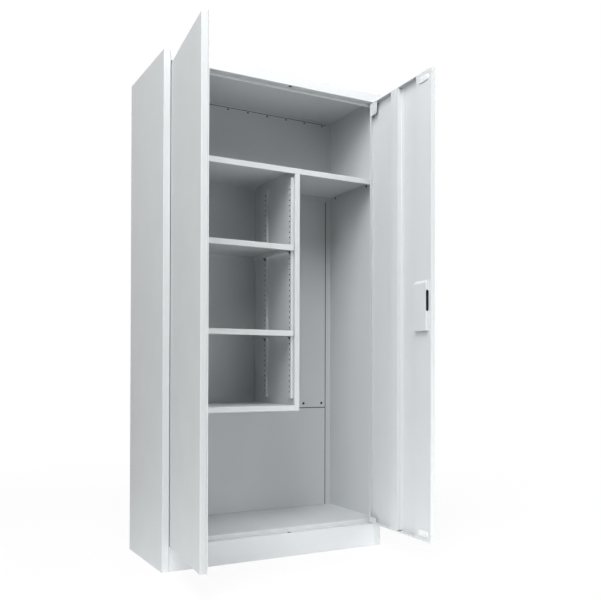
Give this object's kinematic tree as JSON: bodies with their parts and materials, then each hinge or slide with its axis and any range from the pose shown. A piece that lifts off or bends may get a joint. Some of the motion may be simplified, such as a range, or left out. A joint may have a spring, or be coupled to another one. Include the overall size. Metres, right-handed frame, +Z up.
{
  "type": "broom cupboard",
  "caption": "Two-door sheet-steel broom cupboard with a full-width top shelf, shelves on hooks at the left, a tall bay at the right and a rod lock.",
  "frame": {"origin": "on the floor, in the middle of the carcass", "axes": "+X to the right seen from the front, +Y from the front to the back, +Z up"},
  "size_m": [0.917, 0.8242, 1.8],
  "materials": {
    "powder_coat": "satin",
    "zinc_steel": "satin",
    "black_plastic": "matte",
    "grey_nylon": "matte",
    "chromed_lock": "polished"
  },
  "bodies": {
    "carcass": {"back_seam_plugs": "black_plastic", "divider": "powder_coat", "divider_bolts": "zinc_steel", "divider_front_rack": "powder_coat", "divider_nuts": "zinc_steel", "divider_rear_rack": "powder_coat", "fixed_shelf": "powder_coat", "fixed_shelf_studs": "zinc_steel", "floor_panel": "powder_coat", "hinge_washers": "grey_nylon", "left_front_rack": "powder_coat", "left_rear_rack": "powder_coat", "left_side_panel": "powder_coat", "lower_adjustable_shelf": "powder_coat", "lower_back_panel": "powder_coat", "lower_hinge_pins": "zinc_steel", "lower_shelf_clips": "zinc_steel", "plinth": "powder_coat", "rear_flange_rivets": "zinc_steel", "right_side_panel": "powder_coat", "roof_flange_clips": "black_plastic", "roof_panel": "powder_coat", "top_shelf": "powder_coat", "top_shelf_studs": "zinc_steel", "upper_adjustable_shelf": "powder_coat", "upper_back_panel": "powder_coat", "upper_hinge_pins": "zinc_steel", "upper_shelf_clips": "zinc_steel"},
    "left_door": {"left_door_skin": "powder_coat", "left_door_stiffener": "powder_coat", "left_door_stile": "powder_coat", "left_upper_hinge_plate": "zinc_steel", "left_lower_hinge_plate": "zinc_steel", "left_hinge_rivets": "zinc_steel", "overlap_strip": "powder_coat"},
    "right_door": {"right_door_skin": "powder_coat", "right_door_stiffener": "powder_coat", "right_door_stile": "powder_coat", "right_upper_hinge_plate": "zinc_steel", "right_lower_hinge_plate": "zinc_steel", "right_hinge_rivets": "zinc_steel", "upper_rod_guide": "grey_nylon", "lower_rod_guide": "grey_nylon", "lock_plate": "zinc_steel", "lock_plate_screws": "zinc_steel", "lock_cover": "powder_coat", "handle_plate": "black_plastic"},
    "handle": {"door_handle": "black_plastic", "lock_spindle": "zinc_steel", "rod_cam": "zinc_steel", "locking_tongue": "zinc_steel"},
    "key": {"key_plug": "chromed_lock"},
    "upper_rod": {"upper_lock_rod": "zinc_steel", "upper_rod_yoke": "zinc_steel"},
    "lower_rod": {"lower_lock_rod": "zinc_steel", "lower_rod_yoke": "zinc_steel"}
  },
  "joints": [
    {"name": "left_door_hinge", "type": "hinge", "parent": "carcass", "child": "left_door", "pos_m": [-0.4163, -0.1946, 0.9], "axis": [0, 0, -1], "range_deg": [-96.3, 13.7]},
    {"name": "right_door_hinge", "type": "hinge", "parent": "carcass", "child": "right_door", "pos_m": [0.4163, -0.1946, 0.9], "axis": [0, 0, 1], "range_deg": [-87.25, 22.75]},
    {"name": "handle_turn", "type": "hinge", "parent": "right_door", "child": "handle", "pos_m": [0.39846, -0.56597, 0.942], "axis": [-0.9988, 0.048, 0], "range_deg": [0, 90]},
    {"name": "key_turn", "type": "hinge", "parent": "handle", "child": "key", "pos_m": [0.39846, -0.56597, 0.942], "axis": [-0.9988, 0.048, 0], "range_deg": [0, 90]},
    {"name": "upper_rod_slide", "type": "slide", "parent": "right_door", "child": "upper_rod", "axis": [0, 0, 1], "range_m": [0, 0.02001]},
    {"name": "lower_rod_slide", "type": "slide", "parent": "right_door", "child": "lower_rod", "axis": [0, 0, -1], "range_m": [0, 0.02001]}
  ],
  "couplings": [
    {"joint": "upper_rod_slide", "follows": "handle_turn", "m_per_rad": 0.012732},
    {"joint": "lower_rod_slide", "follows": "handle_turn", "m_per_rad": 0.012732}
  ]
}
